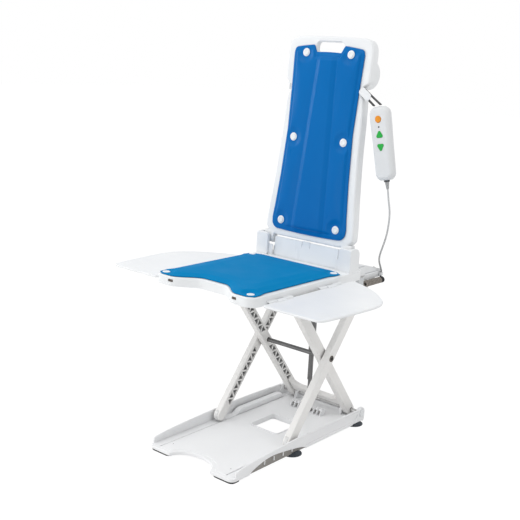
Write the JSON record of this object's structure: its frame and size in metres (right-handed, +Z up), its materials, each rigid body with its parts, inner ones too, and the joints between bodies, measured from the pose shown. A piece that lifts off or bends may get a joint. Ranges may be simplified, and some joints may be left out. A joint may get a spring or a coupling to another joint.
{
  "type": "scissor bath lift",
  "caption": "White plastic scissor lift seat for a bath: blue padded seat and reclining back, hinged side flaps, suction feet on a low base and a corded hand control.",
  "frame": {"origin": "on the floor, in the middle of the lift's plan with the seat raised and the flaps out", "axes": "+Z up, +Y towards the back of the lift, +X towards the sitter's left, the side that carries the hand control"},
  "size_m": [0.7154, 0.603, 1.066],
  "materials": {
    "white_plastic": "fine satin moulding",
    "grey_plastic": "satin moulding",
    "blue_cover": "smooth coated cover",
    "rubber": "matt",
    "steel": "turned",
    "orange_button": "satin",
    "green_button": "satin",
    "black_plastic": "matt",
    "cord_sheath": "satin sheath"
  },
  "bodies": {
    "base": {"base_tray": "white_plastic", "front_pad_left": "rubber", "front_pad_right": "rubber", "suction_cup_front_left": "rubber", "suction_cup_front_right": "rubber", "suction_cup_rear_left": "rubber", "suction_cup_rear_right": "rubber", "rear_pivot_shaft": "steel", "column_rod": "steel"},
    "inner_arms": {"inner_arm_left": "white_plastic", "inner_arm_right": "white_plastic", "centre_axle": "steel", "inner_cross_member": "white_plastic"},
    "upper_rollers": {"upper_roller_left": "grey_plastic", "upper_roller_right": "grey_plastic"},
    "outer_arms": {"outer_arm_left": "white_plastic", "outer_arm_right": "white_plastic"},
    "lower_rollers": {"lower_roller_left": "grey_plastic", "lower_roller_right": "grey_plastic"},
    "column_first": {"column_stage_1": "steel"},
    "column_second": {"column_stage_2": "steel"},
    "column_third": {"column_stage_3": "steel"},
    "seat": {"seat_plate": "white_plastic", "seat_cover": "blue_cover", "cover_peg_front_left": "white_plastic", "cover_peg_front_right": "white_plastic", "cover_peg_rear_left": "white_plastic", "cover_peg_rear_right": "white_plastic", "lower_panel": "white_plastic", "rear_housing": "white_plastic", "drive_unit": "grey_plastic", "column_tube": "steel", "flap_pin_left": "steel", "flap_pin_right": "steel", "upper_pivot_shaft": "steel", "cord_socket": "grey_plastic", "cord_clip": "white_plastic", "cord_coil": "cord_sheath", "cord_lead": "cord_sheath"},
    "left_flap": {"flap_left": "white_plastic"},
    "right_flap": {"flap_right": "white_plastic"},
    "backrest": {"back_shell": "white_plastic", "back_cover": "blue_cover", "cover_plug_low_left": "white_plastic", "cover_plug_low_right": "white_plastic", "cover_plug_middle_left": "white_plastic", "cover_plug_middle_right": "white_plastic", "cover_plug_high_left": "white_plastic", "cover_plug_high_right": "white_plastic", "back_hinge_pin_left": "steel", "back_hinge_pin_right": "steel", "handset_strap": "black_plastic", "handset_front": "white_plastic", "handset_rear": "white_plastic", "handset_battery": "black_plastic", "bend_relief": "grey_plastic"},
    "stop_key": {"stop_button": "orange_button"},
    "up_key": {"up_button": "green_button"},
    "down_key": {"down_button": "green_button"}
  },
  "joints": [
    {"name": "lift", "type": "hinge", "parent": "base", "child": "inner_arms", "pos_m": [0, 0.248, 0.0308], "axis": [1, 0, 0], "range_deg": [0, 47.86]},
    {"name": "arm_cross", "type": "hinge", "parent": "inner_arms", "child": "outer_arms", "pos_m": [0, 0.09515, 0.22546], "axis": [1, 0, 0], "range_deg": [-95.8, 0]},
    {"name": "seat_level", "type": "hinge", "parent": "outer_arms", "child": "seat", "pos_m": [0, 0.248, 0.42012], "axis": [1, 0, 0], "range_deg": [0, 47.9]},
    {"name": "upper_roll", "type": "hinge", "parent": "inner_arms", "child": "upper_rollers", "pos_m": [0, -0.0577, 0.42012], "axis": [1, 0, 0], "continuous": true},
    {"name": "lower_roll", "type": "hinge", "parent": "outer_arms", "child": "lower_rollers", "pos_m": [0, -0.0577, 0.0308], "axis": [1, 0, 0], "continuous": true},
    {"name": "column_first_slide", "type": "slide", "parent": "base", "child": "column_first", "axis": [0, 0, -1], "range_m": [0, 0.0888]},
    {"name": "column_second_slide", "type": "slide", "parent": "base", "child": "column_second", "axis": [0, 0, -1], "range_m": [0, 0.1775]},
    {"name": "column_third_slide", "type": "slide", "parent": "base", "child": "column_third", "axis": [0, 0, -1], "range_m": [0, 0.2662]},
    {"name": "left_flap_hinge", "type": "hinge", "parent": "seat", "child": "left_flap", "pos_m": [-0.1685, -0.08, 0.44592], "axis": [0, 1, 0], "range_deg": [0, 85]},
    {"name": "right_flap_hinge", "type": "hinge", "parent": "seat", "child": "right_flap", "pos_m": [0.1685, -0.08, 0.44592], "axis": [0, -1, 0], "range_deg": [0, 85]},
    {"name": "recline", "type": "hinge", "parent": "seat", "child": "backrest", "pos_m": [0, 0.132, 0.50792], "axis": [-1, 0, 0], "range_deg": [0, 30], "deforming": ["cord_lead"]},
    {"name": "stop_press", "type": "slide", "parent": "backrest", "child": "stop_key", "axis": [0, 1, 0], "range_m": [0, 0.0012], "stiffness_N_per_m": 400},
    {"name": "up_press", "type": "slide", "parent": "backrest", "child": "up_key", "axis": [0, 1, 0], "range_m": [0, 0.0012], "stiffness_N_per_m": 400},
    {"name": "down_press", "type": "slide", "parent": "backrest", "child": "down_key", "axis": [0, 1, 0], "range_m": [0, 0.0012], "stiffness_N_per_m": 400}
  ],
  "couplings": [
    {"joint": "arm_cross", "follows": "lift", "ratio": -2},
    {"joint": "seat_level", "follows": "lift", "ratio": 1},
    {"joint": "column_first_slide", "follows": "lift", "m_per_rad": 0.10618},
    {"joint": "column_second_slide", "follows": "lift", "m_per_rad": 0.21237},
    {"joint": "column_third_slide", "follows": "lift", "m_per_rad": 0.31855}
  ]
}
